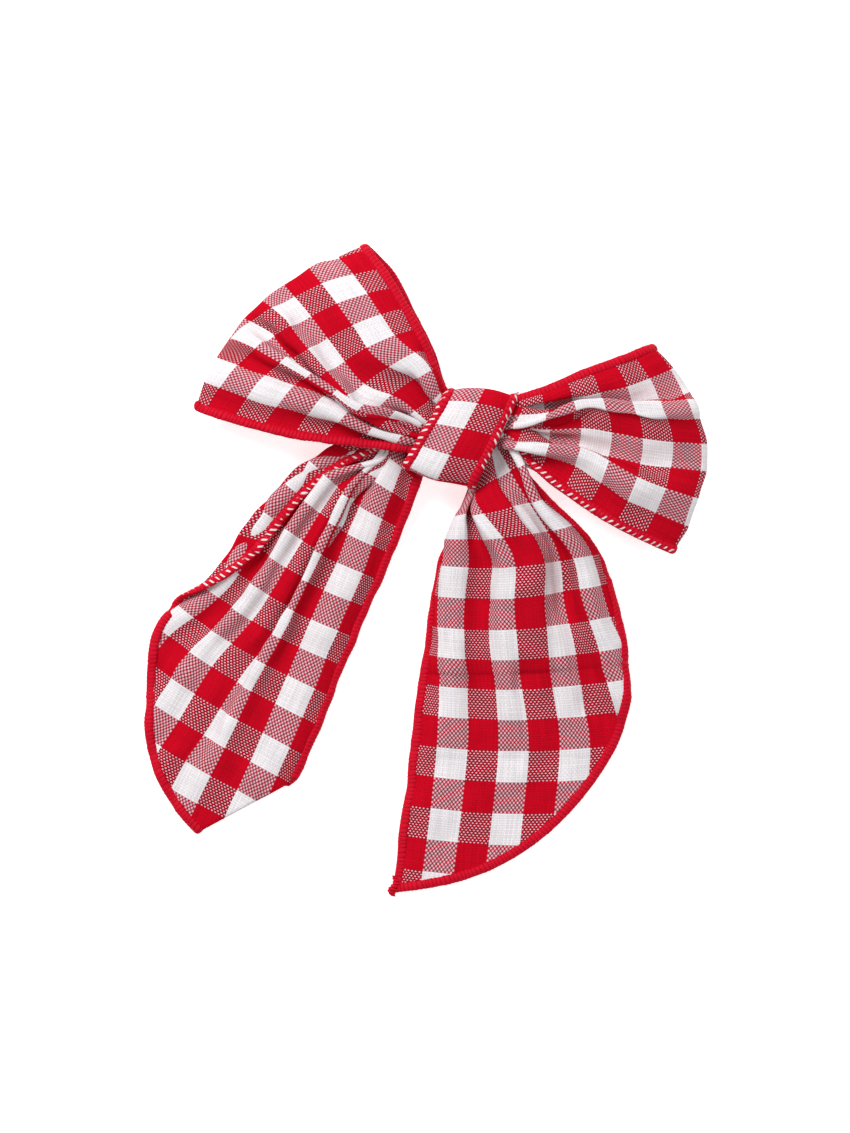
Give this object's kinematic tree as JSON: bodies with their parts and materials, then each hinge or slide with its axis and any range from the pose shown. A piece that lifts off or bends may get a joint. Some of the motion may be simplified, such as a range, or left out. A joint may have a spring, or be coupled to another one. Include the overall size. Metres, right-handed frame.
{
  "type": "hair bow",
  "caption": "Soft hair bow of red and white gingham cotton: loops over pointed tails, gathered under a narrow wrap, on a sprung alligator hair clip.",
  "frame": {"origin": "on the flat underside of the clip's lower arm, midway across the centre wrap, with the bow lying on its back", "axes": "+Z is out of the bow's face, +X runs along the clip from its jaw tip to its finger tabs, and the tails hang towards -Y"},
  "size_m": [0.1106, 0.131, 0.016],
  "materials": {
    "gingham_cotton": "matte",
    "edging_thread": "matte",
    "binding_thread": "matte",
    "hot_melt_glue": "satin",
    "clip_steel": "satin",
    "spring_steel": "satin"
  },
  "bodies": {
    "bow": {"left_loop": "gingham_cotton", "left_loop_upper_edging": "edging_thread", "left_loop_lower_edging": "edging_thread", "right_loop": "gingham_cotton", "right_loop_upper_edging": "edging_thread", "right_loop_lower_edging": "edging_thread", "left_tail": "gingham_cotton", "left_tail_inner_edging": "edging_thread", "left_tail_outer_edging": "edging_thread", "right_tail": "gingham_cotton", "right_tail_outer_edging": "edging_thread", "right_tail_inner_edging": "edging_thread", "gathered_waist": "gingham_cotton", "gathering_thread": "binding_thread", "centre_wrap": "gingham_cotton", "centre_wrap_left_edging": "edging_thread", "centre_wrap_right_edging": "edging_thread", "glue_pad": "hot_melt_glue", "clip_upper_arm": "clip_steel", "clip_spring": "spring_steel", "clip_hinge_pin": "clip_steel"},
    "lower_jaw": {"clip_lower_arm": "clip_steel"}
  },
  "joints": [
    {"name": "jaw_hinge", "type": "hinge", "parent": "bow", "child": "lower_jaw", "pos_m": [0.009, 0, 0.0034], "axis": [0, -1, 0], "range_deg": [0, 25], "stiffness_Nm_per_rad": 0.04, "springref_deg": -28.65, "deforming": ["clip_spring"]}
  ]
}
